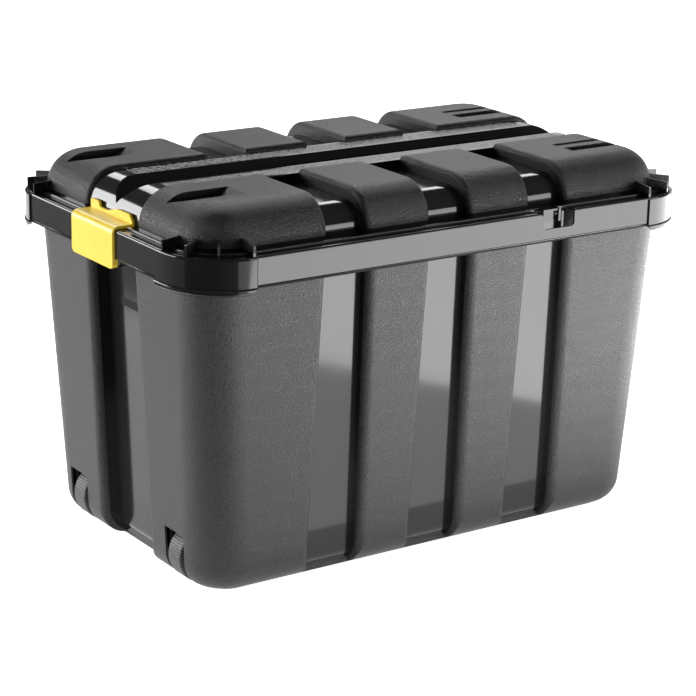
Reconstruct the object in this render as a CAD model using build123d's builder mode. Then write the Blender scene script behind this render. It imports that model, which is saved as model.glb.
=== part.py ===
from build123d import *
import math
import os

# Large wheeled tool trunk with a lift-off domed lid, two end clips and a lift-out tray.
# Millimetres. Origin: centre of the footprint on the floor. X along the length (wheels at -X), Z up.

# ---- driving dimensions -------------------------------------------------------------------------
RIM_LENGTH = 800.0            # over the skirt, end to end
RIM_WIDTH = 512.4             # over the skirt, side to side
RIM_TOP = 464.4               # top of the rim ledge
RIM_CORNER = 85.0             # plan radius of the skirt corners
SKIRT_BOTTOM = 427.1
SHEET = 3.0                   # wall thickness of the mouldings

DRAFT = 0.0526                # outward lean of every body wall, mm per mm of height
PANEL_HALF_X = 355.5          # panel faces at floor level
PANEL_HALF_Y = 210.5
PANEL_CORNER = 60.0           # plan radius of the body corners
PANEL_EDGE = 11.0             # rounding of the upright panel edges
PANEL_BOTTOM = 38.0           # rounding between panel and floor
SIDE_DEPTH = 20.0             # depth of the side channels
END_DEPTH = 26.0              # depth of the end channels
CORE_CORNER = 34.0
CORE_BOTTOM = 16.0
SIDE_CHANNELS = (-162.0, 0.0, 162.0)
SIDE_CHANNEL_LOW = 40.0       # half width at floor level
SIDE_CHANNEL_HIGH = 31.5      # half width under the rim
END_CHANNEL_LOW = 65.0
END_CHANNEL_HIGH = 58.0

PLINTH_HEIGHT = 9.0
PLINTH_INSET = 6.0
FLOOR_TOP = 12.0              # inside floor
UNDER_RECESS = 6.0            # hollow under the plinth
UNDER_RECESS_X = 290.0
UNDER_RECESS_Y = 150.0

CORNER_SKIRT_X = 314.5        # the corner skirts start beyond these lines
CORNER_SKIRT_Y = (-160.0, 181.0)
CORNER_SKIRT_PROUD = 2.5
CORNER_SKIRT_BOTTOM = 417.5
CORNER_RAMP_RUN = 9.0         # the lower edge of a corner skirt starts with a ramp
CORNER_RAMP_RISE = 6.0
BEAD_HEIGHT = 9.0             # rolled bead along the lower edge
BEAD_PROUD = 1.4
SEAM_WIDTH = 2.4              # slot between the plain skirt and a corner skirt
SEAM_DEPTH = 1.6

WHEEL_X = -322.0
WHEEL_Z = 38.5
WHEEL_Y = 131.0
WHEEL_R = 37.5
WHEEL_WIDTH = 30.0
HUB_R = 31.0
HUB_RING = 4.0
HUB_WEB = 5.0
HUB_BOSS_R = 10.0
HOLES = 6                     # lightening holes in the web of the hub
HOLE_R = 5.0
HOLE_CIRCLE = 18.5
TREADS = 60                   # cross grooves of the tread
TREAD_WIDTH = 1.3
TREAD_DEPTH = 0.6
AXLE_R = 5.0
BOSS_R = 11.0
BOSS_LENGTH = 7.0
AXLE_END = 4.0                # the axle stands out of the boss by this much, inside its cap
AXLE_HEAD = 3.0
RUNNING = 0.05                # radial running clearance
WELL_HALF = 24.0              # half width of a wheel well
WELL_INNER_X = -277.0
WELL_TOP = 80.0
WINDOW_TOP = 74.5

NOTCH_X = 158.4               # padlock notch in each long skirt
NOTCH_HALF = 26.0
NOTCH_BOTTOM = 441.5
NOTCH_DEPTH = 20.0
NOTCH_ROUND = 5.0
NOTCH_FLARE = 10.0            # rounding between the notch and the ledge, on one side
EYE_Y = 246.5                 # padlock eye through the ear of the rim and the tab of the lid
EYE_Z = 457.5
EYE_R = 4.0
EAR_X = 165.3                 # ear of the rim and rib of the lid, two plates side by side
TAB_RIB_X = 160.3
EAR_HALF = 1.75
EAR_INNER_Y = 239.0
EAR_OUTER_Y = 254.0
EAR_TOP = 463.5
SHELF_Z = 430.0               # short shelf that carries the ear
SHELF_INNER_Y = 229.0
SHELF_HALF = 10.0
TAB_START = 1.6               # from the edge of the notch to the face plate of the tab
TAB_WIDTH = 16.5
TAB_BOTTOM = 452.9
TAB_RIB_BOTTOM = 450.5
TAB_FACE_Y = 252.5

LID_TOP = 517.5
LID_FLANGE_X = 386.0
LID_FLANGE_Y = 242.0
LID_FLANGE_CORNER = 71.0
LID_FLANGE_TOP = 467.4
DOME_X = 375.0
DOME_Y = 226.0
DOME_CORNER = 60.0
DOME_FALL = 48.0
WELL_FLOOR_Z = 499.5          # floor of the cross channels of the lid
LOW_X = 368.0
LOW_Y = 209.0
LOW_FALL = 31.0
SPINE_HALF = 66.5             # half width of the long spine of the lid
SPINE_Z = 511.0
SPINE_X = 370.5
SPINE_FALL = 42.0
GROOVE_HALF = 28.5            # V groove along the spine
GROOVE_DEPTH = 27.0
GROOVE_SPREAD = 10.0          # the cutter goes on this far above the spine, at the same slope
GROOVE_SLANT = 1.4            # thickness across the slope to thickness upright
PAD_EDGES = ((-380.0, -190.5), (-131.5, -31.5), (31.5, 131.5), (190.5, 380.0))
PAD_ROUND = 7.0
WEDGE_Y = ((-158.5, -112.0), (110.0, 156.0))    # wedge recesses, deepest at the +Y side
WEDGE_X = -267.0
WEDGE_RUN = 100.0
WEDGE_DEPTH = 11.0
WEDGE_END = 21.4              # the end wall leans back by this much
STEP_X = (255.0, 350.0)       # stepped recesses: two saw-tooth grooves side by side
STEP_SHIFTS = (0.0, 260.0)
STEPS = ((-115.0, 18.0, 2.3), (-141.0, 22.0, 5.3))    # wall, width and depth of each groove
WEB_ANGLES = (1, 29, 58, 89)  # stiffening webs around each corner of the lid
WEB_X = 315.0
WEB_Y = 171.0
WEB_INNER = 50.0
WEB_OUTER = 84.0
WEB_INNER_TOP = 481.0
WEB_OUTER_TOP = 478.0
WEB_HALF = 1.7
FLANGE_BEAD = 4.0             # width of the bead around the flange
GUTTER_FLOOR = 1.6            # thickness of the flange inside the bead

PLUG_X = 344.0                # locating wall under the lid
PLUG_Y = 205.0
PLUG_CORNER = 28.0
PLUG_WALL = 2.5
PLUG_DROP = 10.0

CLIP_HALF = 55.0
CLIP_SHEET = 3.5
CLIP_GAP = 0.4
CLIP_BOTTOM = 413.0
CLIP_TOP = 468.6
CLIP_LIP_X = 371.8
CLIP_LIP_SHEET = 3.4
CLIP_ROUND = 9.0              # rounding between the front plate and the top plate
CLIP_INNER_ROUND = 4.0
CLIP_CORNER = 7.0             # lower corners of the front plate
CLIP_FLANGE = 8.2             # depth of the side flanges below the skirt
CLIP_FLANGE_SHEET = 2.5
CLIP_FLANGE_TOP = 425.5
CLIP_WAVE = ((-55, 481), (-33, 481), (-31, 473.5), (-12, 473), (14, 480), (47, 480.5), (55, 472))
CLIP_BAY_HALF = 61.0          # the lid is cut back around a clip
CLIP_BAY_GAP = 0.6
PIN_X = 391.0
PIN_Z = 419.0
PIN_R = 2.5
KNUCKLE_R = 5.5
KNUCKLE_HALF = 38.0
LUG_INNER = 40.0
LUG_OUTER = 46.0
LUG_R = 6.5
LUG_RUN = 42.0                # from the pin to the root inside the end wall
PIN_HEAD = 2.0

TRAY_REST = 372.0
TRAY_TOP = 432.0
TRAY_HALF_X = 322.0
TRAY_HALF_Y = 187.0
TRAY_SHEET = 2.5
TRAY_CORNER = 28.0
TRAY_LIP = 6.0                # width of the lip around the tray
TRAY_LIP_SHEET = 3.0
TRAY_WALL_HALF = 2.0          # carrying wall along the middle
TRAY_WALL_DIP = 26.0          # the carrying wall is cut down to this height under the grip
DIVIDER_X = (-160.0, 160.0)
DIVIDER_SHEET = 2.5
SLOT_RIB = 2.4                # pairs of small ribs that hold a divider
SLOT_RIB_OFFSET = 2.8
SLOT_RIB_REACH = 3.5
HANDLE_HALF = 78.0
HANDLE_TOP = 452.0
HANDLE_FOOT = 410.0
HANDLE_POST = 15.0
HANDLE_DEPTH = 9.0            # half the width of the grip
SIDE_BRACKET = (208.0, 179.0, 26.0, 24.0)     # wall, tip, drop and half length of a tray bracket
END_BRACKET = (348.0, 312.0, 32.0, 30.0)
BRACKET_LIP = 5.0


def lean(z):
    """How far a drafted wall stands out at height z compared with floor level."""
    return DRAFT * z


def block(x, y, z, mode=Mode.ADD):
    """Box in the part being built, from (low, high) pairs along each axis."""
    with Locations(((x[0] + x[1]) / 2, (y[0] + y[1]) / 2, (z[0] + z[1]) / 2)):
        Box(x[1] - x[0], y[1] - y[0], z[1] - z[0], mode=mode)


def rod(x, y, z, radius, length, mode=Mode.ADD):
    """Cylinder along Y in the part being built, centred on the given point."""
    with Locations(Plane(origin=(x, y, z), z_dir=(0, 1, 0))):
        Cylinder(radius, length, mode=mode)


def slab(half_x, half_y, corner, z_low, z_high):
    """Upright rounded-rectangle block."""
    with BuildPart() as upright_block:
        with BuildSketch(Plane.XY.offset(z_low)):
            RectangleRounded(2 * half_x, 2 * half_y, corner)
        extrude(amount=z_high - z_low)
    return upright_block.part


def drafted_block(half_x, half_y, corner, z_low, z_high, bottom_round):
    """Leaning rounded block with a rounded bottom edge; half sizes are those at floor level."""
    with BuildPart() as leaning:
        for z in (z_low, z_high):
            with BuildSketch(Plane.XY.offset(z)):
                RectangleRounded(2 * (half_x + lean(z)), 2 * (half_y + lean(z)), corner)
        loft(ruled=True)
        fillet(leaning.faces().sort_by(Axis.Z)[0].edges(), bottom_round)
    return leaning.part


def channel_half(low, high, z, inset):
    """Half width of a channel at height z, widened by the inset of an inner skin."""
    return low + (high - low) * z / RIM_TOP + inset


def panel_outline(z, inset):
    """Plan outline of the panelled body at height z, pulled in by inset."""
    half_x = PANEL_HALF_X + lean(z) - inset
    half_y = PANEL_HALF_Y + lean(z) - inset
    side = channel_half(SIDE_CHANNEL_LOW, SIDE_CHANNEL_HIGH, z, inset)
    end = channel_half(END_CHANNEL_LOW, END_CHANNEL_HIGH, z, inset)
    reach = 2 * (SIDE_DEPTH + 6.0)
    end_reach = 2 * (END_DEPTH + 6.0)
    with BuildSketch(Plane.XY.offset(z)) as outline:
        RectangleRounded(2 * half_x, 2 * half_y, PANEL_CORNER - inset)
        with Locations(*[(x, s * half_y) for x in SIDE_CHANNELS for s in (-1, 1)]):
            Rectangle(2 * side, reach, mode=Mode.SUBTRACT)
        with Locations((-half_x, 0), (half_x, 0)):
            Rectangle(end_reach, 2 * end, mode=Mode.SUBTRACT)
        on_side = [v for v in outline.vertices() if abs(abs(v.Y) - half_y) < 0.01 and abs(v.X) < 230]
        on_end = [v for v in outline.vertices() if abs(abs(v.X) - half_x) < 0.01 and abs(v.Y) < 110]
        fillet(on_side + on_end, PANEL_EDGE - inset)
    return outline.sketch


def panels(inset, z_low):
    """The raised panels, rounded off towards the floor."""
    low = panel_outline(z_low, inset)
    high = panel_outline(RIM_TOP, inset)
    with BuildPart() as pillars:
        loft([low, high], ruled=True)
    slack = 0.06 - inset          # keeps the two sets of faces from coinciding
    envelope = drafted_block(PANEL_HALF_X + slack, PANEL_HALF_Y + slack, PANEL_CORNER + slack,
                             z_low, RIM_TOP, PANEL_BOTTOM - inset)
    return pillars.part & envelope


def core(inset, z_low):
    """The body behind the channels."""
    return drafted_block(
        PANEL_HALF_X - END_DEPTH - inset,
        PANEL_HALF_Y - SIDE_DEPTH - inset,
        CORE_CORNER - inset,
        z_low,
        RIM_TOP,
        CORE_BOTTOM - inset,
    )


def rim():
    """Rolled rim: ledge and down-turned skirt, standing proud and deeper at the four corners."""
    half_x = RIM_LENGTH / 2
    half_y = RIM_WIDTH / 2
    inner_x = half_x - SHEET
    inner_y = half_y - SHEET
    inner_corner = RIM_CORNER - SHEET
    outside = slab(half_x, half_y, RIM_CORNER, SKIRT_BOTTOM, RIM_TOP)
    inside = slab(inner_x, inner_y, inner_corner, SKIRT_BOTTOM, RIM_TOP - SHEET)
    with BuildPart() as band:
        add(outside)
        fillet(band.faces().sort_by(Axis.Z)[-1].edges(), SHEET)
        add(inside, mode=Mode.SUBTRACT)
        for side in (-1, 1):
            for end in (-1, 1):
                seam = sorted((end * CORNER_SKIRT_X, end * (CORNER_SKIRT_X - SEAM_WIDTH)))
                block(seam, sorted((side * half_y, side * (half_y - SEAM_DEPTH))), (0, RIM_TOP - SHEET),
                      Mode.SUBTRACT)
                edge = CORNER_SKIRT_Y[(side + 1) // 2]
                block(sorted((end * half_x, end * (half_x - SEAM_DEPTH))),
                      sorted((edge, edge - side * SEAM_WIDTH)), (0, RIM_TOP - SHEET), Mode.SUBTRACT)
    return band.part + corner_skirts(inner_x, inner_y, inner_corner)


def ramp(plane, edge, outward):
    """Cutter for the ramp at the start of a lower edge that runs outward from the given place."""
    low = CORNER_SKIRT_BOTTOM
    high = low + CORNER_RAMP_RISE
    start = edge - outward
    finish = edge + outward * CORNER_RAMP_RUN
    with BuildSketch(plane) as outline:
        with BuildLine():
            Polyline((start, low - 1), (start, high), (edge, high), (finish, low), (finish, low - 1),
                     close=True)
        make_face()
    extrude(outline.sketch, amount=RIM_LENGTH, both=True, mode=Mode.SUBTRACT)


def corner_skirts(inner_x, inner_y, inner_corner):
    """The deeper skirt of the four corners, with a rolled bead along its lower edge."""
    low = CORNER_SKIRT_BOTTOM
    plate = SHEET + CORNER_SKIRT_PROUD
    reach = plate + BEAD_PROUD
    near, far = CORNER_SKIRT_Y
    outside = slab(inner_x + plate, inner_y + plate, inner_corner + plate, low, RIM_TOP - SHEET)
    inside = slab(inner_x, inner_y, inner_corner, low, RIM_TOP)
    roll = slab(inner_x + reach, inner_y + reach, inner_corner + reach, low, low + BEAD_HEIGHT)
    with BuildPart() as ring:
        add(roll)
        fillet(ring.faces().filter_by(Axis.Z).edges(), BEAD_HEIGHT / 3)
        add(outside)
        add(inside, mode=Mode.SUBTRACT)
        block((-CORNER_SKIRT_X, CORNER_SKIRT_X), (-RIM_WIDTH, RIM_WIDTH), (0, 2 * RIM_TOP), Mode.SUBTRACT)
        block((-RIM_LENGTH, RIM_LENGTH), (near, far), (0, 2 * RIM_TOP), Mode.SUBTRACT)
        for end in (-1, 1):
            ramp(Plane.XZ, end * CORNER_SKIRT_X, end)
        ramp(Plane.YZ, near, -1)
        ramp(Plane.YZ, far, 1)
    return ring.part


def wheel_housings():
    """Walls around the two wheel wells, with a boss on each side for the axle."""
    half = WELL_HALF + SHEET
    with BuildPart() as housings:
        for side in (-1, 1):
            y = side * WHEEL_Y
            block((-350, WELL_INNER_X + SHEET), (y - half, y + half), (0, WELL_TOP + SHEET))
            rod(WHEEL_X, y, WHEEL_Z, BOSS_R, 2 * (half + BOSS_LENGTH))
    return housings.part


def wheel_wells():
    """Space for the wheels: open to the floor and to the end, with a lintel over the window."""
    with BuildPart() as wells:
        for side in (-1, 1):
            y = (side * WHEEL_Y - WELL_HALF, side * WHEEL_Y + WELL_HALF)
            block((-351, WELL_INNER_X), y, (-5, WELL_TOP))
            block((-RIM_LENGTH / 2, -345), y, (-5, WINDOW_TOP))
            rod(WHEEL_X, side * WHEEL_Y, WHEEL_Z, AXLE_R, 100)
    return wells.part


def clip_lugs():
    """Two lugs at each end that carry the clip pin, standing out from the end channel."""
    with BuildPart() as lugs:
        for end in (-1, 1):
            for side in (-1, 1):
                with BuildSketch(Plane.XZ.offset(side * (LUG_INNER + LUG_OUTER) / 2)):
                    with Locations((end * (PIN_X - LUG_RUN / 2), PIN_Z)):
                        Rectangle(LUG_RUN, 2 * LUG_R)
                    with Locations((end * PIN_X, PIN_Z)):
                        Circle(LUG_R)
                        Circle(PIN_R, mode=Mode.SUBTRACT)
                extrude(amount=(LUG_OUTER - LUG_INNER) / 2, both=True)
    return lugs.part


def bracket(plane, side, shape):
    """Bracket in the part being built, with a flat top at the height where the tray rests."""
    wall, tip, drop, half_length = shape
    with BuildSketch(plane) as outline:
        with BuildLine():
            Polyline((side * wall, TRAY_REST - drop), (side * wall, TRAY_REST), (side * tip, TRAY_REST),
                     (side * tip, TRAY_REST - BRACKET_LIP), close=True)
        make_face()
    extrude(outline.sketch, amount=half_length, both=True)


def tray_brackets():
    """Brackets on the inside that carry the tray: four along the sides and one at each end."""
    with BuildPart() as brackets:
        for side in (-1, 1):
            bracket(Plane.YZ.offset(SIDE_CHANNELS[0]), side, SIDE_BRACKET)
            bracket(Plane.YZ.offset(SIDE_CHANNELS[2]), side, SIDE_BRACKET)
            bracket(Plane.XZ, side, END_BRACKET)
    return brackets.part


def padlock_notches():
    """Rounded notch through each long skirt, one a half turn from the other."""
    tall = 2 * (RIM_TOP - NOTCH_BOTTOM)
    with BuildPart() as notches:
        for turn in (-1, 1):
            edge = -turn * (NOTCH_X - NOTCH_HALF)
            with BuildSketch(Plane.XZ.offset(-turn * RIM_WIDTH / 2)) as opening:
                with Locations((-turn * NOTCH_X, NOTCH_BOTTOM + tall / 2)):
                    Rectangle(2 * NOTCH_HALF, tall)
                with Locations((edge, RIM_TOP + tall / 4)):
                    Rectangle(4 * NOTCH_FLARE, tall / 2)
                fillet(opening.vertices().sort_by_distance((edge, RIM_TOP, 0))[0], NOTCH_FLARE)
                fillet(opening.vertices().group_by(Axis.Y)[0], NOTCH_ROUND)
            extrude(amount=NOTCH_DEPTH, both=True)
    return notches.part


def eye_plate(x, turn, z_low, z_high):
    """Upright plate across X in the part being built, with the padlock eye through it."""
    with BuildSketch(Plane.YZ.offset(x)) as outline:
        with Locations((turn * (EAR_INNER_Y + EAR_OUTER_Y) / 2, (z_low + z_high) / 2)):
            Rectangle(EAR_OUTER_Y - EAR_INNER_Y, z_high - z_low)
        with Locations((turn * EYE_Y, EYE_Z)):
            Circle(EYE_R, mode=Mode.SUBTRACT)
    extrude(outline.sketch, amount=EAR_HALF, both=True)


def padlock_ears():
    """Upright ear of the rim inside each notch, pierced for a padlock, on a short shelf."""
    with BuildPart() as ears:
        for turn in (-1, 1):
            x = -turn * EAR_X
            eye_plate(x, turn, SHELF_Z, EAR_TOP)
            block((x - SHELF_HALF, x + SHELF_HALF), sorted((turn * SHELF_INNER_Y, turn * EAR_OUTER_Y)),
                  (SHELF_Z, SHELF_Z + SHEET))
    return ears.part


def make_tub():
    plinth = slab(PANEL_HALF_X - END_DEPTH - PLINTH_INSET, PANEL_HALF_Y - SIDE_DEPTH - PLINTH_INSET,
                  CORE_CORNER - PLINTH_INSET, 0, 2 * PLINTH_HEIGHT)
    outer = panels(0, 0) + core(0, PLINTH_HEIGHT) + plinth
    hollow = panels(SHEET, FLOOR_TOP) + core(SHEET, FLOOR_TOP)
    edge = rim() - padlock_notches()
    fittings = padlock_ears() + clip_lugs()
    housings = wheel_housings() & outer
    brackets = tray_brackets()
    wells = wheel_wells()
    recess = slab(UNDER_RECESS_X, UNDER_RECESS_Y, PLINTH_INSET + SHEET, 0, UNDER_RECESS)
    with BuildPart() as tub:
        add(outer)
        add(edge)
        add(fittings)
        add(hollow, mode=Mode.SUBTRACT)
        add(housings)
        add(brackets)
        add(wells, mode=Mode.SUBTRACT)
        add(recess, mode=Mode.SUBTRACT)
        for end in (-1, 1):
            rod(end * PIN_X, 0, PIN_Z, PIN_R, 2 * LUG_OUTER + PIN_HEAD, Mode.SUBTRACT)
    return tub.part


def rounded_dome(half_x, half_y, corner, top, fall):
    """Upright block with a rounded shoulder."""
    body = slab(half_x, half_y, corner, RIM_TOP, top)
    with BuildPart() as dome:
        add(body)
        fillet(dome.faces().sort_by(Axis.Z)[-1].edges(), fall)
    return dome.part


def spine(inset):
    """Long central rib of the lid."""
    half_x = SPINE_X - inset
    half_y = SPINE_HALF - inset
    with BuildPart() as rib:
        block((-half_x, half_x), (-half_y, half_y), (RIM_TOP, SPINE_Z - inset))
        shoulders = rib.faces().sort_by(Axis.Z)[-1].edges().filter_by(Axis.Y)
        fillet(shoulders, SPINE_FALL)
    return rib.part


def groove(inset):
    """V-shaped cutter along the spine, thickened by inset."""
    bottom = SPINE_Z - GROOVE_DEPTH - GROOVE_SLANT * inset
    wide = GROOVE_HALF + GROOVE_SPREAD + GROOVE_SLANT * inset
    with BuildPart() as cutter:
        with BuildSketch(Plane.YZ):
            with BuildLine():
                Polyline((-wide, SPINE_Z + GROOVE_SPREAD), (0, bottom), (wide, SPINE_Z + GROOVE_SPREAD),
                         close=True)
            make_face()
        extrude(amount=RIM_LENGTH / 2, both=True)
    return cutter.part


def pads(inset):
    """The eight raised pads; the outer skin gets rounded edges."""
    dome = rounded_dome(DOME_X - inset, DOME_Y - inset, DOME_CORNER - inset, LID_TOP - inset,
                        DOME_FALL - inset)
    shapes = []
    for x_low, x_high in PAD_EDGES:
        for side in (-1, 1):
            inner = side * (SPINE_HALF + inset)
            with BuildPart() as pad:
                block((x_low + inset, x_high - inset), sorted((inner, side * RIM_WIDTH)),
                      (RIM_TOP, 2 * LID_TOP))
                add(dome, mode=Mode.INTERSECT)
                if inset == 0:
                    fillet(pad_rims(pad, x_low, x_high, inner), PAD_ROUND)
            shapes.append(pad.part)
    return shapes


def pad_rims(pad, x_low, x_high, inner):
    """Upper edges of the cut sides of a pad: everything but the upright and the bottom edges."""
    rims = []
    for edge in pad.edges():
        span = edge.bounding_box()
        flat_x = span.max.X - span.min.X < 0.01
        flat_y = span.max.Y - span.min.Y < 0.01
        on_x = flat_x and min(abs(span.min.X - x_low), abs(span.min.X - x_high)) < 0.01
        on_y = flat_y and abs(span.min.Y - inner) < 0.01
        bottom = span.max.Z < RIM_TOP + 2
        if (on_x or on_y) and not (flat_x and flat_y) and not bottom:
            rims.append(edge)
    return rims


def lid_skin(inset):
    """Everything above the flange, pulled in by inset."""
    skin = rounded_dome(LOW_X - inset, LOW_Y - inset, 50 - inset, WELL_FLOOR_Z - inset, LOW_FALL - inset)
    skin = skin + spine(inset)
    for pad in pads(inset):
        skin = skin + pad
    return skin - groove(inset)


def wedge_recesses(wall):
    """Finger recesses of two pads: sloping floor, upright +Y side and a leaning end, grown by wall."""
    top = LID_TOP + SHEET
    floor = LID_TOP - WEDGE_DEPTH - wall
    far_x = WEDGE_X - WEDGE_RUN - wall
    with BuildPart() as cutters:
        for y_low, y_high in WEDGE_Y:
            with BuildSketch(Plane.YZ.offset(far_x)):
                with BuildLine():
                    Polyline((y_low - wall, top), (y_low - wall, LID_TOP - wall), (y_high + wall, floor),
                             (y_high + wall, top), close=True)
                make_face()
            extrude(amount=WEDGE_RUN + 2 * wall)
        with BuildSketch(Plane.XZ):
            with BuildLine():
                Polyline((far_x, top), (WEDGE_X + wall, top), (WEDGE_X + wall, LID_TOP),
                         (WEDGE_X - WEDGE_END + wall, floor), (far_x, floor), close=True)
            make_face()
        extrude(amount=RIM_WIDTH / 2, both=True, mode=Mode.INTERSECT)
    return cutters.part


def step_recesses():
    """Finger recesses of the two pads at the other end: two saw-tooth grooves in each."""
    with BuildPart() as cutters:
        for shift in STEP_SHIFTS:
            for wall_y, width, depth in STEPS:
                y = wall_y + shift
                with BuildSketch(Plane.YZ.offset(STEP_X[0])):
                    with BuildLine():
                        Polyline((y, LID_TOP + depth), (y, LID_TOP - depth),
                                 (y - 2 * width, LID_TOP + depth), close=True)
                    make_face()
                extrude(amount=STEP_X[1] - STEP_X[0])
    return cutters.part


def step_backing():
    """Blocks that keep the wall behind the saw-tooth grooves."""
    first, last = STEPS
    low = LID_TOP - last[2] - SHEET
    with BuildPart() as backing:
        for shift in STEP_SHIFTS:
            block((STEP_X[0] - SHEET, STEP_X[1] + SHEET),
                  (last[0] - last[1] - SHEET + shift, first[0] + SHEET + shift), (low, LID_TOP))
    return backing.part


def corner_webs():
    """Stiffening webs in the gutter at each corner of the lid, reaching over the rim ledge."""
    with BuildPart() as webs:
        for sx in (-1, 1):
            for sy in (-1, 1):
                for angle in WEB_ANGLES:
                    turn = math.radians(angle)
                    outward = (sx * math.cos(turn), sy * math.sin(turn), 0)
                    across = (outward[1], -outward[0], 0)
                    upright = Plane(origin=(sx * WEB_X, sy * WEB_Y, 0), x_dir=outward, z_dir=across)
                    with BuildSketch(upright):
                        with BuildLine():
                            Polyline((WEB_INNER, RIM_TOP), (WEB_OUTER, RIM_TOP), (WEB_OUTER, WEB_OUTER_TOP),
                                     (WEB_INNER, WEB_INNER_TOP), close=True)
                        make_face()
                    extrude(amount=WEB_HALF, both=True)
    return webs.part


def lid_flange():
    """Flat flange resting on the rim, with an edge bead and a groove at the foot of the dome."""
    plate = slab(LID_FLANGE_X, LID_FLANGE_Y, LID_FLANGE_CORNER, RIM_TOP, LID_FLANGE_TOP)
    gutter = slab(LID_FLANGE_X - FLANGE_BEAD, LID_FLANGE_Y - FLANGE_BEAD,
                  LID_FLANGE_CORNER - FLANGE_BEAD, RIM_TOP + GUTTER_FLOOR, LID_FLANGE_TOP + GUTTER_FLOOR)
    with BuildPart() as flange:
        add(plate)
        fillet(flange.faces().sort_by(Axis.Z)[-1].edges(), FLANGE_BEAD / 3)
        add(gutter, mode=Mode.SUBTRACT)
    return flange.part


def padlock_tabs():
    """Down-turned tab of the lid in each notch: a face plate and a pierced side plate."""
    roof = LID_FLANGE_TOP - PLUG_WALL
    with BuildPart() as tabs:
        for turn in (-1, 1):
            near = -turn * (NOTCH_X - NOTCH_HALF + TAB_START)
            far = near - turn * TAB_WIDTH
            rib = -turn * TAB_RIB_X
            face = sorted((turn * (TAB_FACE_Y - SHEET), turn * TAB_FACE_Y))
            block(sorted((near, far)), face, (TAB_BOTTOM, LID_FLANGE_TOP))
            block(sorted((near, rib - turn * EAR_HALF)), sorted((turn * EAR_INNER_Y, turn * TAB_FACE_Y)),
                  (roof, LID_FLANGE_TOP))
            eye_plate(rib, turn, TAB_RIB_BOTTOM, LID_FLANGE_TOP)
    return tabs.part


def locating_wall(skin):
    """Wall under the lid that drops inside the rim; it runs up into the skin."""
    low = RIM_TOP - PLUG_DROP
    high = WELL_FLOOR_Z - 1.0
    below = slab(PLUG_X, PLUG_Y, PLUG_CORNER, low, RIM_TOP + 0.5)
    inside = slab(PLUG_X - PLUG_WALL, PLUG_Y - PLUG_WALL, PLUG_CORNER - PLUG_WALL, low, high)
    upper = slab(PLUG_X, PLUG_Y, PLUG_CORNER, RIM_TOP, high) & skin
    return below + upper - inside


def make_lid():
    flange = lid_flange()
    skin = lid_skin(0)
    plug = locating_wall(skin)
    webs = corner_webs()
    wedges = wedge_recesses(0)
    steps = step_recesses()
    hollow = lid_skin(SHEET) - wedge_recesses(SHEET) - step_backing()
    tabs = padlock_tabs()
    with BuildPart() as lid:
        add(flange)
        add(skin)
        add(webs)
        for end in (-1, 1):
            bay = sorted((end * (CLIP_LIP_X - CLIP_BAY_GAP), end * RIM_LENGTH / 2))
            block(bay, (-CLIP_BAY_HALF, CLIP_BAY_HALF), (RIM_TOP - 1, 2 * LID_TOP), Mode.SUBTRACT)
        add(wedges, mode=Mode.SUBTRACT)
        add(steps, mode=Mode.SUBTRACT)
        add(hollow, mode=Mode.SUBTRACT)
        add(plug)
        add(tabs)
    return lid.part


def make_clip():
    """Clip of the +X end: front plate, top plate, side flanges, waved lip and hinge knuckle."""
    inner = RIM_LENGTH / 2 + CLIP_GAP
    outer = inner + CLIP_SHEET
    under = CLIP_TOP - CLIP_SHEET
    with BuildPart() as clip:
        with BuildSketch(Plane.XZ) as profile:
            with BuildLine():
                Polyline((inner, CLIP_BOTTOM), (outer, CLIP_BOTTOM), (outer, CLIP_TOP),
                         (CLIP_LIP_X, CLIP_TOP), (CLIP_LIP_X, under), (inner, under), close=True)
            make_face()
            fillet(profile.vertices().sort_by_distance((outer, CLIP_TOP, 0))[0], CLIP_ROUND)
            fillet(profile.vertices().sort_by_distance((inner, under, 0))[0], CLIP_INNER_ROUND)
        extrude(amount=CLIP_HALF, both=True)
        for side in (-1, 1):
            flange = sorted((side * (CLIP_HALF - CLIP_FLANGE_SHEET), side * CLIP_HALF))
            block((outer - CLIP_FLANGE, outer), flange, (CLIP_BOTTOM, CLIP_FLANGE_TOP))
        with BuildSketch(Plane.YZ.offset(CLIP_LIP_X)) as wave:
            with BuildLine():
                Polyline((-CLIP_HALF, under), *CLIP_WAVE, (CLIP_HALF, under), close=True)
            make_face()
            fillet([v for v in wave.vertices() if v.Y > CLIP_TOP], CLIP_LIP_SHEET)
        extrude(amount=CLIP_LIP_SHEET)
        with BuildSketch(Plane.XZ):
            with Locations((PIN_X, PIN_Z)):
                Circle(KNUCKLE_R)
            with Locations(((PIN_X + outer) / 2, PIN_Z)):
                Rectangle(outer - PIN_X, 2 * KNUCKLE_R - 2)
        extrude(amount=KNUCKLE_HALF, both=True)
        rod(PIN_X, 0, PIN_Z, PIN_R + RUNNING, 2 * CLIP_HALF, Mode.SUBTRACT)
        with BuildSketch(Plane.YZ.offset(PIN_X - CLIP_LIP_X)):
            with Locations((0, CLIP_BOTTOM + CLIP_HALF)):
                RectangleRounded(2 * CLIP_HALF, 2 * CLIP_HALF, CLIP_CORNER)
        extrude(amount=RIM_LENGTH, mode=Mode.INTERSECT)
    return clip.part


def make_clip_pin():
    """Hinge pin with a small head at each end."""
    with BuildPart() as pin:
        rod(PIN_X, 0, PIN_Z, PIN_R, 2 * LUG_OUTER + PIN_HEAD)
        for side in (-1, 1):
            rod(PIN_X, side * (LUG_OUTER + PIN_HEAD / 2), PIN_Z, PIN_R + 1, PIN_HEAD)
    return pin.part


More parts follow.
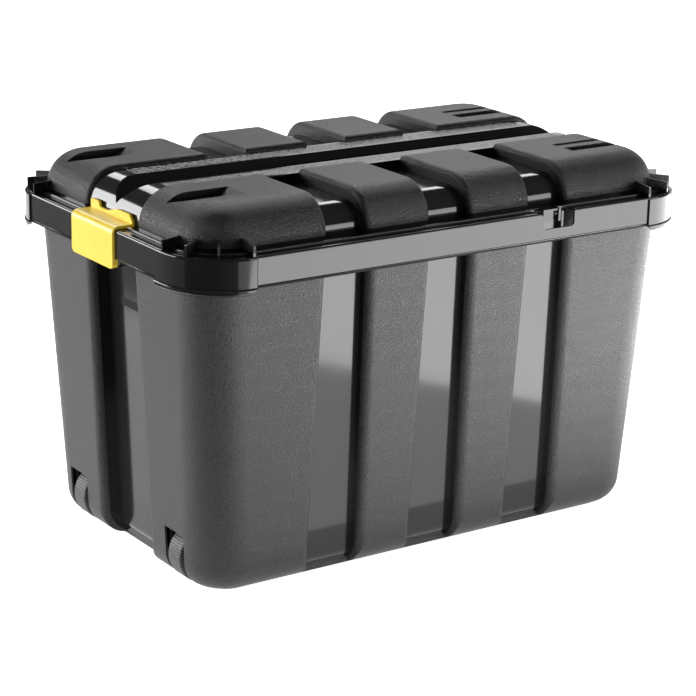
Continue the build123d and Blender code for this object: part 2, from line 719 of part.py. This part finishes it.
def make_wheel(y):
    """Hub with a bored boss, a web with lightening holes and a rim."""
    axis = Plane(origin=(WHEEL_X, y, WHEEL_Z), z_dir=(0, 1, 0))
    with BuildPart() as wheel:
        with Locations(axis):
            Cylinder(HUB_R, WHEEL_WIDTH - 2)
            Cylinder(HUB_R - HUB_RING, WHEEL_WIDTH, mode=Mode.SUBTRACT)
            Cylinder(HUB_R - HUB_RING + 1, HUB_WEB)
            Cylinder(HUB_BOSS_R, WHEEL_WIDTH)
        with Locations(axis):
            with PolarLocations(HOLE_CIRCLE, HOLES):
                Cylinder(HOLE_R, WHEEL_WIDTH, mode=Mode.SUBTRACT)
        with Locations(axis):
            Cylinder(AXLE_R + RUNNING, WHEEL_WIDTH + 2, mode=Mode.SUBTRACT)
    return wheel.part


def make_tyre(y):
    """Tread ring with fine cross grooves."""
    axis = Plane(origin=(WHEEL_X, y, WHEEL_Z), z_dir=(0, 1, 0))
    with BuildPart() as tyre:
        with Locations(axis):
            Cylinder(WHEEL_R, WHEEL_WIDTH)
            Cylinder(HUB_R, WHEEL_WIDTH + 2, mode=Mode.SUBTRACT)
        outer = [e for e in tyre.edges().filter_by(GeomType.CIRCLE) if e.radius > HUB_R + 1]
        fillet(outer, 2)
        with Locations(axis):
            with PolarLocations(WHEEL_R, TREADS):
                Box(2 * TREAD_DEPTH, TREAD_WIDTH, WHEEL_WIDTH + 2, mode=Mode.SUBTRACT)
    return tyre.part


def make_axle(side):
    """Headed pin through both walls of a wheel well."""
    inner = side * (WHEEL_Y - WELL_HALF - SHEET - BOSS_LENGTH)
    outer = side * (WHEEL_Y + WELL_HALF + SHEET + BOSS_LENGTH + AXLE_END)
    with BuildPart() as axle:
        rod(WHEEL_X, (inner + outer) / 2, WHEEL_Z, AXLE_R, abs(outer - inner))
        rod(WHEEL_X, inner - side * AXLE_HEAD / 2, WHEEL_Z, AXLE_R + AXLE_HEAD, AXLE_HEAD)
    return axle.part


def make_axle_caps():
    """Blind push-on caps on the outer ends of the axles."""
    length = AXLE_END + 2
    with BuildPart() as caps:
        for side in (-1, 1):
            face = side * (WHEEL_Y + WELL_HALF + SHEET + BOSS_LENGTH)
            rod(WHEEL_X, face + side * length / 2, WHEEL_Z, AXLE_R + AXLE_HEAD, length)
            rod(WHEEL_X, face + side * AXLE_END / 2, WHEEL_Z, AXLE_R, AXLE_END, Mode.SUBTRACT)
    return caps.part


def make_tray():
    """Open tray with a lip, a carrying wall along the middle and slots for the dividers."""
    floor = TRAY_REST + TRAY_SHEET
    wall_x = TRAY_HALF_X - TRAY_LIP
    wall_y = TRAY_HALF_Y - TRAY_LIP
    corner = TRAY_CORNER - TRAY_LIP
    inner_x = wall_x - TRAY_SHEET
    inner_y = wall_y - TRAY_SHEET
    post = HANDLE_HALF - HANDLE_POST + 3
    body = slab(wall_x, wall_y, corner, TRAY_REST, TRAY_TOP)
    lip = slab(TRAY_HALF_X, TRAY_HALF_Y, TRAY_CORNER, TRAY_TOP - TRAY_LIP_SHEET, TRAY_TOP)
    hollow = slab(inner_x, inner_y, corner - TRAY_SHEET, floor, TRAY_TOP)
    with BuildPart() as tray:
        add(body)
        fillet(tray.faces().sort_by(Axis.Z)[0].edges(), 4)
        add(lip)
        add(hollow, mode=Mode.SUBTRACT)
        block((-inner_x - 1, inner_x + 1), (-TRAY_WALL_HALF, TRAY_WALL_HALF), (floor - 1, TRAY_TOP))
        block((-post, post), (-SHEET, SHEET), (floor + TRAY_WALL_DIP, TRAY_TOP + 1), Mode.SUBTRACT)
        for x in DIVIDER_X:
            for y in (-inner_y, -TRAY_WALL_HALF, TRAY_WALL_HALF, inner_y):
                for dx in (-SLOT_RIB_OFFSET, SLOT_RIB_OFFSET):
                    block((x + dx - SLOT_RIB / 2, x + dx + SLOT_RIB / 2),
                          (y - SLOT_RIB_REACH, y + SLOT_RIB_REACH), (floor - 1, TRAY_TOP - TRAY_LIP))
    return tray.part & (body + lip)


def make_tray_dividers():
    floor = TRAY_REST + TRAY_SHEET
    outer_y = TRAY_HALF_Y - TRAY_LIP - TRAY_SHEET - 0.3
    inner_y = TRAY_WALL_HALF + 0.3
    with BuildPart() as dividers:
        for x in DIVIDER_X:
            for side in (-1, 1):
                block((x - DIVIDER_SHEET / 2, x + DIVIDER_SHEET / 2),
                      sorted((side * inner_y, side * outer_y)), (floor + 0.3, TRAY_TOP - TRAY_LIP - 2))
    return dividers.part


def make_tray_handle():
    """Arched grip whose two feet straddle the carrying wall of the tray."""
    opening = 2 * (HANDLE_HALF - HANDLE_POST)
    tall = HANDLE_TOP - HANDLE_FOOT
    with BuildPart() as handle:
        with BuildSketch(Plane.XZ) as side_view:
            with Locations((0, HANDLE_FOOT + tall / 2)):
                RectangleRounded(2 * HANDLE_HALF, tall, 10)
            with Locations((0, HANDLE_FOOT + 10)):
                RectangleRounded(opening, tall - 10, 10, mode=Mode.SUBTRACT)
        extrude(amount=HANDLE_DEPTH, both=True)
        grip = [e for e in handle.edges() if e.bounding_box().max.Z > HANDLE_TOP - 12
                and abs(abs(e.center().Y) - HANDLE_DEPTH) < 0.01]
        fillet(grip, 3)
        block((-HANDLE_HALF - 1, HANDLE_HALF + 1), (-TRAY_WALL_HALF - RUNNING, TRAY_WALL_HALF + RUNNING),
              (HANDLE_FOOT - 1, TRAY_TOP + RUNNING), Mode.SUBTRACT)
    return handle.part


def save(part, label):
    part.label = label
    export_step(part, f"parts/{label}.step")
    print(label, round(part.volume / 1000, 1), "cm3", len(part.solids()), "solid(s)", part.is_valid)


os.makedirs("parts", exist_ok=True)
save(make_tub(), "tub")
save(make_lid(), "lid")
clip = make_clip()
clip_pin = make_clip_pin()
save(clip, "clip_right")
save(clip_pin, "clip_pin_right")
save(clip.rotate(Axis.Z, 180), "clip_left")
save(clip_pin.rotate(Axis.Z, 180), "clip_pin_left")
for name, side in (("near", -1), ("far", 1)):
    save(make_wheel(side * WHEEL_Y), f"wheel_{name}")
    save(make_tyre(side * WHEEL_Y), f"tyre_{name}")
    save(make_axle(side), f"axle_{name}")
save(make_axle_caps(), "axle_caps")
save(make_tray(), "tray")
save(make_tray_dividers(), "tray_dividers")
save(make_tray_handle(), "tray_handle")
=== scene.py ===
import math

import bmesh
import bpy
from mathutils import Matrix, Vector


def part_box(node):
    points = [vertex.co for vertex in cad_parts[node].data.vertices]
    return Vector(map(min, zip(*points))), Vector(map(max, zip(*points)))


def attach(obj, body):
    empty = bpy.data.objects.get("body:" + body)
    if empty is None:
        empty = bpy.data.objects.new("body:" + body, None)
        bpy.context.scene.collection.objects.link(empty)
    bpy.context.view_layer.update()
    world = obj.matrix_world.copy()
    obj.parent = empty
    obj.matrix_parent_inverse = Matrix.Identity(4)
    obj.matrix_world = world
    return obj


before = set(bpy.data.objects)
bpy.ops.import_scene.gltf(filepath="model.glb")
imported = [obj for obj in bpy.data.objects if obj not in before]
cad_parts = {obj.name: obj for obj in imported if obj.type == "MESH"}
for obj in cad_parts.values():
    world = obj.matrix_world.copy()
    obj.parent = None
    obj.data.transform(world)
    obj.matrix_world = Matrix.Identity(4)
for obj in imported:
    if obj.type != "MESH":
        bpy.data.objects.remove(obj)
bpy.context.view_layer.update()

# ---- the trunk's own sizes, in metres ------------------------------------------------------------
DRAFT = 0.0526                # outward lean of the body walls
PANEL_HALF_X = 0.3555         # panel faces at floor level
PANEL_HALF_Y = 0.2105
PANEL_CORNER = 0.060
PANEL_BOTTOM = 0.038
PANEL_GRAIN_DEPTH = 0.0105    # the grain stops this far behind the panel face
SKIRT_BOTTOM = 0.4271
SKIRT_TOP = 0.4610
SKIRT_HALF_X = 0.4000
SKIRT_HALF_Y = 0.2562
SEAM_X = 0.3145               # seams between the plain skirt and the corner skirts
SEAM_Y = (-0.160, 0.181)
SEAM_WIDTH = 0.0024
CLIP_CLEAR = 0.062            # the edging stops this far from the middle of a clip
BEAD_R = 0.0008
# height of the near-black strip that paints shade in the gap under the skirt
GAP_SHADE_TALL = 0.0030
BEAD_SIDES = 12
GAP_SHADE_DEPTHS = (0.0006, 0.0028)    # front and back of the near-black strip that paints shade in the gap, behind the face of the skirt
SEAM_SHADE_DEPTHS = (0.0004, 0.0015)  # the same for the painted-shade strips in the seams
EDGE_LAP = 0.0002                # the painted-shade strip in the gap starts this far above the edge of the skirt
TREAD_RIBS = 60.0             # the same count as the grooves of the modelled tread
SPINE_HALF = 0.0665
GRAIN_FOOT = 0.4690           # the grain of the lid pads starts above the flange
PAD_BANDS = ((0.0315, 0.1315), (0.1905, 0.3800))
KNURL_INNER = (0.0320, 0.0330)   # the pebbled strips fade in and out between these |y|
KNURL_OUTER = (0.0610, 0.0600)
KNURL_FOOT = (0.5100, 0.5105)    # z
KNURL_END = (0.322, 0.318)       # |x|
CARD_HEIGHT = 0.02            # the studio cards lie this far above the floor
FLAG_HEIGHT = 0.01
FLOOR_HALF = 14.0
BACKDROP_R = 13.0
BACKDROP_HEIGHT = 12.0
BACKDROP_STEPS = 64

# ---- the camera ----------------------------------------------------------------------------------
CAMERA_ANGLES = (34.417, 17.142, 1.1499)      # azimuth, elevation and roll, in degrees
CAMERA_PLACE = (-1.765285, -2.574055, 1.193844)
CAMERA_LENS = 120.35                          # mm, on a sensor 36 mm wide
CAMERA_SENSOR = 36.0


# ---- node materials ------------------------------------------------------------------------------
class Shader:
    """A node material under construction, around one Principled BSDF."""

    def __init__(self, name, roughness=0.5, ior=1.47):
        self.material = bpy.data.materials.new(name)
        self.material.use_nodes = True
        self.tree = self.material.node_tree
        self.tree.nodes.clear()
        self.surface = self.tree.nodes.new("ShaderNodeBsdfPrincipled")
        self.surface.inputs["IOR"].default_value = ior
        self.surface.inputs["Roughness"].default_value = roughness
        output = self.tree.nodes.new("ShaderNodeOutputMaterial")
        self.tree.links.new(self.surface.outputs[0], output.inputs[0])
        self.place = self.node("TexCoord").outputs["Object"]

    def feed(self, socket, value):
        """Links a socket, or sets a plain value."""
        if isinstance(value, bpy.types.NodeSocket):
            self.tree.links.new(value, socket)
        else:
            socket.default_value = value

    def node(self, kind, inputs=(), **settings):
        """New node of a kind, with its inputs fed and its settings set."""
        made = self.tree.nodes.new("ShaderNode" + kind)
        for key, value in settings.items():
            setattr(made, key, value)
        for key, value in dict(inputs).items():
            self.feed(made.inputs[key], value)
        return made

    def calc(self, operation, *values):
        """One Math node; the values are numbers or sockets."""
        return self.node("Math", dict(enumerate(values)), operation=operation).outputs[0]

    def axes(self):
        """The place on the object as x, y and z sockets, in metres."""
        parts = self.node("SeparateXYZ", {0: self.place})
        return parts.outputs["X"], parts.outputs["Y"], parts.outputs["Z"]

    def step(self, value, low, high):
        """0 below low, 1 above high, smooth between."""
        ramp = self.node("MapRange", {"Value": value, "From Min": low, "From Max": high},
                         interpolation_type="SMOOTHSTEP")
        return ramp.outputs[0]

    def noise(self, scale, detail=2.0, stretch=None):
        """Noise in object space, in features per metre."""
        vector = self.place
        if stretch:
            vector = self.node("Mapping", {"Vector": vector, "Scale": stretch}).outputs[0]
        made = self.node("TexNoise", {"Vector": vector, "Scale": scale, "Detail": detail})
        return made.outputs["Fac"]

    def blend(self, factor, low, high):
        """Number between low and high."""
        mixed = self.node("MapRange", {"Value": factor, "To Min": low, "To Max": high})
        return mixed.outputs[0]

    def colour(self, factor, first, second):
        """Colour between two linear RGB values."""
        mixed = self.node("Mix", {0: factor}, data_type="RGBA")
        self.feed(mixed.inputs[6], (*first, 1.0))
        self.feed(mixed.inputs[7], (*second, 1.0))
        return mixed.outputs[2]

    def bump(self, height, depth, strength=1.0, normal=None):
        """Normal from a height of the given depth in metres, on top of another normal."""
        inputs = {"Height": height, "Distance": depth, "Strength": strength}
        if normal is not None:
            inputs["Normal"] = normal
        return self.node("Bump", inputs).outputs[0]

    def finish(self, colour=None, roughness=None, normal=None):
        """Feeds the surface and gives the material."""
        for key, value in (("Base Color", colour), ("Roughness", roughness), ("Normal", normal)):
            if value is not None:
                self.feed(self.surface.inputs[key], value)
        return self.material


def panel_mask(shader):
    """1 on the raised panels of the body, 0 in the channels and on the rim."""
    x, y, z = shader.axes()
    lean = shader.calc("MULTIPLY", z, DRAFT)
    beyond = []
    for value, half in ((x, PANEL_HALF_X), (y, PANEL_HALF_Y)):
        reach = shader.calc("ADD", lean, half - PANEL_CORNER)
        beyond.append(shader.calc("SUBTRACT", shader.calc("ABSOLUTE", value), reach))
    outside = [shader.calc("MAXIMUM", value, 0.0) for value in beyond]
    length = shader.node("VectorMath", operation="LENGTH")
    corner = shader.node("CombineXYZ", {0: outside[0], 1: outside[1]})
    shader.feed(length.inputs[0], corner.outputs[0])
    inside = shader.calc("MINIMUM", shader.calc("MAXIMUM", *beyond), 0.0)
    depth = shader.calc("SUBTRACT", shader.calc("ADD", length.outputs["Value"], inside), PANEL_CORNER)
    low = shader.calc("MAXIMUM", shader.calc("SUBTRACT", PANEL_BOTTOM, z), 0.0)
    across = shader.calc("SUBTRACT", PANEL_BOTTOM ** 2, shader.calc("MULTIPLY", low, low))
    drop = shader.calc("SUBTRACT", PANEL_BOTTOM, shader.calc("SQRT", shader.calc("MAXIMUM", across, 0.0)))
    face = shader.calc("ADD", depth, drop)
    near = shader.step(face, -PANEL_GRAIN_DEPTH - 0.001, -PANEL_GRAIN_DEPTH)
    under_rim = shader.step(face, 0.008, 0.007)
    return shader.calc("MULTIPLY", near, under_rim)


def pad_mask(shader):
    """1 on the eight pads of the lid, 0 on the spine, the cross channels and the flange."""
    x, y, z = shader.axes()
    along = shader.calc("ABSOLUTE", x)
    bands = 0.0
    for low, high in PAD_BANDS:
        band = shader.calc("MULTIPLY", shader.step(along, low - 0.0006, low),
                           shader.step(along, high + 0.0006, high))
        bands = shader.calc("MAXIMUM", band, bands)
    beside = shader.step(shader.calc("ABSOLUTE", y), SPINE_HALF - 0.0004, SPINE_HALF + 0.0004)
    above = shader.step(z, GRAIN_FOOT - 0.0005, GRAIN_FOOT + 0.0005)
    return shader.calc("MULTIPLY", shader.calc("MULTIPLY", bands, beside), above)


def spine_knurl(shader):
    """Height of the fine pebbled strips along the top of the spine, 0 elsewhere."""
    x, y, z = shader.axes()
    beside = shader.calc("ABSOLUTE", y)
    strip = shader.calc("MULTIPLY", shader.step(beside, *KNURL_INNER), shader.step(beside, *KNURL_OUTER))
    above = shader.calc("MULTIPLY", strip, shader.step(z, *KNURL_FOOT))
    inward = shader.step(shader.calc("ABSOLUTE", x), *KNURL_END)
    cells = shader.node("TexVoronoi", {"Vector": shader.place, "Scale": 330.0})
    return shader.calc("MULTIPLY", shader.calc("MULTIPLY", above, inward), cells.outputs["Distance"])


def moulded_black(name, mask_of, tones, roughness, relief_of=None):
    """Near-black polypropylene: spark-eroded grain where the mask is 1, polished tool finish elsewhere."""
    shader = Shader(name)
    mask = mask_of(shader)
    grain = shader.step(shader.noise(620.0, 2.0), 0.36, 0.64)
    cloud = shader.noise(9.0, 3.0)
    flow = shader.noise(34.0, 4.0, (1.0, 1.0, 0.12))
    scuffs = shader.step(shader.noise(240.0, 5.0, (1.0, 1.0, 0.05)), 0.70, 0.78)
    polished = shader.colour(cloud, (0.012, 0.012, 0.013), (0.017, 0.017, 0.018))
    eroded = shader.colour(grain, *[(tone, tone, tone + 0.001) for tone in tones])
    tone = shader.node("Mix", {0: mask, 6: polished, 7: eroded}, data_type="RGBA")
    gloss = shader.calc("ADD", shader.blend(flow, 0.08, 0.13), shader.calc("MULTIPLY", scuffs, 0.07))
    matte = shader.blend(grain, *roughness)
    mixed = shader.node("Mix", {0: mask, 2: gloss, 3: matte}, data_type="FLOAT")
    height = shader.calc("MULTIPLY", grain, mask)
    normal = shader.bump(cloud, 0.0004, 0.25)
    if relief_of:
        normal = shader.bump(relief_of(shader), 0.0006, 0.8, normal)
    return shader.finish(tone.outputs[2], mixed.outputs[0], shader.bump(height, 0.0006, 1.0, normal))


def clip_yellow():
    """Glossy yellow polypropylene with faint flow lines, and a faint yellow emission that paints a glow on
    the clip.
    """
    shader = Shader("clip_yellow")
    cloud = shader.noise(25.0, 3.0)
    tone = shader.colour(cloud, (0.90, 0.66, 0.075), (0.95, 0.73, 0.100))
    # painted glow: the clip emits a faint yellow light though it is no lamp
    shader.surface.inputs["Emission Color"].default_value = (0.95, 0.66, 0.02, 1.0)
    shader.surface.inputs["Emission Strength"].default_value = 0.12
    shader.surface.inputs["Subsurface Weight"].default_value = 0.15
    shader.surface.inputs["Subsurface Scale"].default_value = 0.004
    roughness = shader.blend(shader.noise(60.0, 3.0), 0.24, 0.36)
    return shader.finish(tone, roughness, shader.bump(shader.noise(300.0), 0.00006, 0.6))


def tread_rubber(name, low, high):
    """Hard grey tread with fine ribs across it, darker in the grooves as painted shade and lighter on the rib
    tops by wear; low and high are the corners of the tyre's box.
    """
    shader = Shader(name)
    x, y, z = shader.axes()
    around = shader.calc("ARCTAN2", shader.calc("SUBTRACT", z, (low[2] + high[2]) / 2),
                         shader.calc("SUBTRACT", x, (low[0] + high[0]) / 2))
    ribs = shader.calc("SINE", shader.calc("MULTIPLY", around, TREAD_RIBS))
    ribs = shader.step(ribs, -0.4, 0.4)
    worn = shader.noise(120.0, 4.0)
    # painted shade: the grooves between the ribs are near-black, and the rib tops lighten with the worn noise
    tone = shader.colour(shader.calc("MULTIPLY", ribs, worn), (0.045, 0.045, 0.045), (0.22, 0.22, 0.215))
    roughness = shader.blend(shader.noise(200.0, 3.0), 0.40, 0.60)
    rough_skin = shader.bump(shader.noise(900.0), 0.0001, 0.7)
    return shader.finish(tone, roughness, shader.bump(ribs, 0.0005, 0.9, rough_skin))


def shadow_black():
    """Near-black matte that paints shade into the narrow gaps."""
    shader = Shader("shadow_black", 0.9)
    tone = shader.colour(shader.noise(500.0, 2.0), (0.001, 0.001, 0.001), (0.003, 0.003, 0.003))
    return shader.finish(tone, shader.blend(shader.noise(300.0), 0.85, 0.95))


def wheel_plastic():
    """Dark moulded plastic of the hubs."""
    shader = Shader("wheel_plastic")
    tone = shader.colour(shader.noise(80.0, 3.0), (0.05, 0.05, 0.05), (0.07, 0.07, 0.07))
    roughness = shader.blend(shader.noise(150.0, 3.0), 0.35, 0.5)
    return shader.finish(tone, roughness, shader.bump(shader.noise(700.0), 0.0001, 0.5))


def drawn_steel():
    """Zinc-plated steel with drawing lines along Y."""
    shader = Shader("drawn_steel")
    shader.surface.inputs["Metallic"].default_value = 1.0
    lines = shader.noise(1800.0, 2.0, (1.0, 0.04, 1.0))
    tone = shader.colour(shader.noise(150.0, 3.0), (0.52, 0.52, 0.53), (0.64, 0.64, 0.65))
    return shader.finish(tone, shader.blend(lines, 0.25, 0.42), shader.bump(lines, 0.00004, 0.6))


def tray_plastic():
    """Fine-grained dark grey polypropylene."""
    shader = Shader("tray_plastic")
    tone = shader.colour(shader.noise(14.0, 3.0), (0.062, 0.062, 0.066), (0.078, 0.078, 0.082))
    roughness = shader.blend(shader.noise(400.0), 0.42, 0.54)
    return shader.finish(tone, roughness, shader.bump(shader.noise(900.0, 3.0), 0.00015, 0.8))


def dress_nodes():
    """Gives every CAD node its finish."""
    steel = drawn_steel()
    yellow = clip_yellow()
    wheel = wheel_plastic()
    treads = [tread_rubber(name + "_rubber", *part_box(name)) for name in ("tyre_near", "tyre_far")]
    tray = tray_plastic()
    finishes = {
        "tub": moulded_black("tub_plastic", panel_mask, (0.014, 0.048), (0.36, 0.54)),
        "lid": moulded_black("lid_plastic", pad_mask, (0.006, 0.028), (0.28, 0.46), spine_knurl),
        "clip_left": yellow, "clip_right": yellow, "tray_handle": yellow,
        "clip_pin_left": steel, "clip_pin_right": steel,
        "axle_near": steel, "axle_far": steel, "axle_caps": steel,
        "wheel_near": wheel, "wheel_far": wheel,
        "tyre_near": treads[0], "tyre_far": treads[1],
        "tray": tray, "tray_dividers": tray,
    }
    for name, material in finishes.items():
        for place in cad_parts[name].material_slots:
            place.material = material


# ---- pieces added to the frame -------------------------------------------------------------------
def sweep_straight(name, start, finish, outward, profile, material, body):
    """Closed bar between two points; the profile gives its corners as (outward, upward) offsets."""
    start, finish, outward = Vector(start), Vector(finish), Vector(outward)
    shape = bmesh.new()
    rings = []
    for end in (start, finish):
        rings.append([shape.verts.new(end + outward * out + Vector((0, 0, up))) for out, up in profile])
    count = len(profile)
    for i in range(count):
        j = (i + 1) % count
        shape.faces.new((rings[0][i], rings[0][j], rings[1][j], rings[1][i]))
    shape.faces.new(rings[0])
    shape.faces.new(reversed(rings[1]))
    bmesh.ops.recalc_face_normals(shape, faces=shape.faces)
    mesh = bpy.data.meshes.new(name)
    shape.to_mesh(mesh)
    shape.free()
    mesh.materials.append(material)
    piece = bpy.data.objects.new(name, mesh)
    bpy.context.collection.objects.link(piece)
    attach(piece, body)
    return piece


def skirt_runs():
    """(name, start, finish, outward) of every straight stretch of the plain skirt's lower edge."""
    low_y, high_y = SEAM_Y
    runs = []
    for side, word in ((-1, "near"), (1, "far")):
        y = side * SKIRT_HALF_Y
        runs.append((word, (-SEAM_X, y, SKIRT_BOTTOM), (SEAM_X, y, SKIRT_BOTTOM), (0, side, 0)))
    for end, word in ((-1, "left"), (1, "right")):
        x = end * SKIRT_HALF_X
        for part, y_low, y_high in (("a", low_y, -CLIP_CLEAR), ("b", CLIP_CLEAR, high_y)):
            runs.append((word + "_" + part, (x, y_low, SKIRT_BOTTOM), (x, y_high, SKIRT_BOTTOM), (end, 0, 0)))
    return runs


def skirt_edging():
    """Polished bead along the lower edge of the skirt, and a near-black strip behind it that paints the shade
    in the gap.
    """
    gloss = bpy.data.materials["tub_plastic"]
    painted_shade = shadow_black()
    bead = [(BEAD_R * math.cos(turn), BEAD_R * (math.sin(turn) + 0.5))
            for turn in (math.tau * step / BEAD_SIDES for step in range(BEAD_SIDES))]
    front, back = GAP_SHADE_DEPTHS
    gap = [(-front, EDGE_LAP), (-front, -GAP_SHADE_TALL), (-back, -GAP_SHADE_TALL), (-back, EDGE_LAP)]
    for word, start, finish, outward in skirt_runs():
        beading = sweep_straight("skirt_bead_" + word, start, finish, outward, bead, gloss, "base")
        for face in beading.data.polygons:
            face.use_smooth = len(face.vertices) == 4
        # painted shade: a near-black strip fills the gap behind the bead
        sweep_straight("skirt_gap_shade_" + word, start, finish, outward, gap, painted_shade, "base")


def seam_shade_strips():
    """Near-black strip in each slot between the plain skirt and a corner skirt, which paints the shade in the
    slot.
    """
    painted_shade = bpy.data.materials["shadow_black"]
    tall = SKIRT_TOP - SKIRT_BOTTOM
    front, back = SEAM_SHADE_DEPTHS
    seam_shade = [(-back, 0.0), (-front, 0.0), (-front, tall), (-back, tall)]
    half = SEAM_WIDTH / 2 - 0.0001
    # painted shade: a near-black strip stands in each seam slot
    for side, word in ((-1, "near"), (1, "far")):
        for end, hand in ((-1, "left"), (1, "right")):
            x = end * (SEAM_X - SEAM_WIDTH / 2)
            y = side * SKIRT_HALF_Y
            sweep_straight("side_seam_shade_%s_%s" % (word, hand), (x - half, y, SKIRT_BOTTOM),
                           (x + half, y, SKIRT_BOTTOM), (0, side, 0), seam_shade, painted_shade, "base")
            y = SEAM_Y[(side + 1) // 2] - side * SEAM_WIDTH / 2
            x = end * SKIRT_HALF_X
            sweep_straight("end_seam_shade_%s_%s" % (word, hand), (x, y - half, SKIRT_BOTTOM),
                           (x, y + half, SKIRT_BOTTOM), (end, 0, 0), seam_shade, painted_shade, "base")


# ---- stage ---------------------------------------------------------------------------------------
def pale_floor():
    """Large pale floor under the trunk."""
    mesh = bpy.data.meshes.new("floor")
    far = FLOOR_HALF
    mesh.from_pydata([(-far, -far, 0), (far, -far, 0), (far, far, 0), (-far, far, 0)], [], [(0, 1, 2, 3)])
    floor = bpy.data.objects.new("floor", mesh)
    bpy.context.collection.objects.link(floor)
    shader = Shader("pale_floor", 0.9)
    shader.surface.inputs["Emission Color"].default_value = (1.0, 1.0, 1.0, 1.0)
    shader.surface.inputs["Emission Strength"].default_value = 0.98
    tone = shader.colour(shader.noise(1.5, 2.0), (0.80, 0.80, 0.80), (0.84, 0.84, 0.84))
    mesh.materials.append(shader.finish(tone))


def pale_backdrop():
    """White wall all round, far behind the lights; it is seen directly and never in a reflection."""
    corners, faces = [], []
    for step in range(BACKDROP_STEPS):
        turn = math.tau * step / BACKDROP_STEPS
        for height in (0.0, BACKDROP_HEIGHT):
            corners.append((BACKDROP_R * math.cos(turn), BACKDROP_R * math.sin(turn), height))
        here, after = 2 * step, 2 * ((step + 1) % BACKDROP_STEPS)
        faces.append((here, after, after + 1, here + 1))
    mesh = bpy.data.meshes.new("backdrop")
    mesh.from_pydata(corners, [], faces)
    backdrop = bpy.data.objects.new("backdrop", mesh)
    bpy.context.collection.objects.link(backdrop)
    shader = Shader("pale_backdrop", 0.9)
    shader.surface.inputs["Emission Color"].default_value = (1.0, 1.0, 1.0, 1.0)
    shader.surface.inputs["Emission Strength"].default_value = 1.0
    tone = shader.colour(shader.noise(1.5, 2.0), (0.80, 0.80, 0.80), (0.84, 0.84, 0.84))
    mesh.materials.append(shader.finish(tone))
    backdrop.visible_diffuse = False
    backdrop.visible_glossy = False
    backdrop.visible_shadow = False


def place_light(name, turn, size, radiance):
    """Rectangular light that no camera sees, with the given radiance at its surface."""
    data = bpy.data.lights.new(name, "AREA")
    data.shape = "RECTANGLE"
    data.size, data.size_y = size
    data.energy = radiance * math.pi * size[0] * size[1]
    light = bpy.data.objects.new(name, data)
    light.matrix_world = turn
    light.visible_camera = False
    bpy.context.collection.objects.link(light)


def wall_light(name, centre, target, size, radiance):
    """Soft light that faces the target."""
    aim = (Vector(target) - Vector(centre)).to_track_quat("-Z", "Y")
    place_light(name, Matrix.Translation(centre) @ aim.to_matrix().to_4x4(), size, radiance)


def floor_light(name, centre, angle, size, radiance):
    """Soft light lying on the floor and facing up, turned by an angle in degrees."""
    lying = Matrix.Rotation(math.radians(angle), 4, "Z") @ Matrix.Rotation(math.pi, 4, "X")
    place_light(name, Matrix.Translation((*centre, CARD_HEIGHT)) @ lying, size, radiance)


def dark_flag(name, low, high):
    """Black cloth on the floor out of the picture, which keeps glare off the polished plastic."""
    mesh = bpy.data.meshes.new(name)
    corners = [(low[0], low[1], FLAG_HEIGHT), (high[0], low[1], FLAG_HEIGHT),
               (high[0], high[1], FLAG_HEIGHT), (low[0], high[1], FLAG_HEIGHT)]
    mesh.from_pydata(corners, [], [(0, 1, 2, 3)])
    flag = bpy.data.objects.new(name, mesh)
    bpy.context.collection.objects.link(flag)
    shader = Shader(name + "_cloth", 0.95)
    tone = shader.colour(shader.noise(300.0, 3.0), (0.010, 0.010, 0.010), (0.020, 0.020, 0.020))
    mesh.materials.append(shader.finish(tone))
    flag.visible_camera = False


def studio():
    """Cards of light on the floor, four walls of light, black flags at the wheel end; dim overhead."""
    world = bpy.data.worlds.new("studio")
    world.use_nodes = True
    background = world.node_tree.nodes["Background"]
    background.inputs["Color"].default_value = (1.0, 1.0, 1.0, 1.0)
    background.inputs["Strength"].default_value = 0.09
    bpy.context.scene.world = world
    floor_light("front_card", (1.81, -1.18), 48.9, (2.9, 3.0), 5.7)
    floor_light("near_card", (0.62, -0.76), 0.0, (1.8, 1.0), 1.4)
    floor_light("end_card", (-1.5, 1.1), 0.0, (1.6, 2.6), 0.25)
    wall_light("front_wall", (2.7, -3.2, 0.62), (0.2, 0.0, 0.45), (4.0, 1.1), 6.0)
    wall_light("back_wall", (1.8, 3.6, 3.2), (0.0, 0.0, 0.5), (4.0, 1.6), 5.0)
    wall_light("low_wall", (4.2, 3.6, 1.5), (4.2, 0.0, 1.5), (4.0, 1.2), 1.2)
    wall_light("left_wall", (-2.9, 2.4, 0.9), (0.0, 0.0, 0.5), (3.4, 1.6), 9.0)
    dark_flag("front_flag", (-2.6, -2.6), (-0.36, -0.36))
    dark_flag("end_flag", (-2.6, -0.4), (-0.80, 2.6))


def photo_camera():
    """Long lens from above the wheel end of the near side."""
    azimuth, elevation, roll = (math.radians(angle) for angle in CAMERA_ANGLES)
    forward = Vector((math.sin(azimuth) * math.cos(elevation), math.cos(azimuth) * math.cos(elevation),
                      -math.sin(elevation)))
    level = Vector((math.cos(azimuth), -math.sin(azimuth), 0.0))
    upright = level.cross(forward)
    right = level * math.cos(roll) + upright * math.sin(roll)
    up = upright * math.cos(roll) - level * math.sin(roll)
    data = bpy.data.cameras.new("camera")
    data.lens = CAMERA_LENS
    data.sensor_width = CAMERA_SENSOR
    camera = bpy.data.objects.new("camera", data)
    turn = Matrix((right, up, -forward)).transposed().to_4x4()
    camera.matrix_world = Matrix.Translation(CAMERA_PLACE) @ turn
    bpy.context.collection.objects.link(camera)
    bpy.context.scene.camera = camera


# ---- the scene -----------------------------------------------------------------------------------
bpy.context.scene.view_settings.view_transform = "Standard"
photo_camera()
studio()
pale_floor()
pale_backdrop()
dress_nodes()
skirt_edging()
seam_shade_strips()
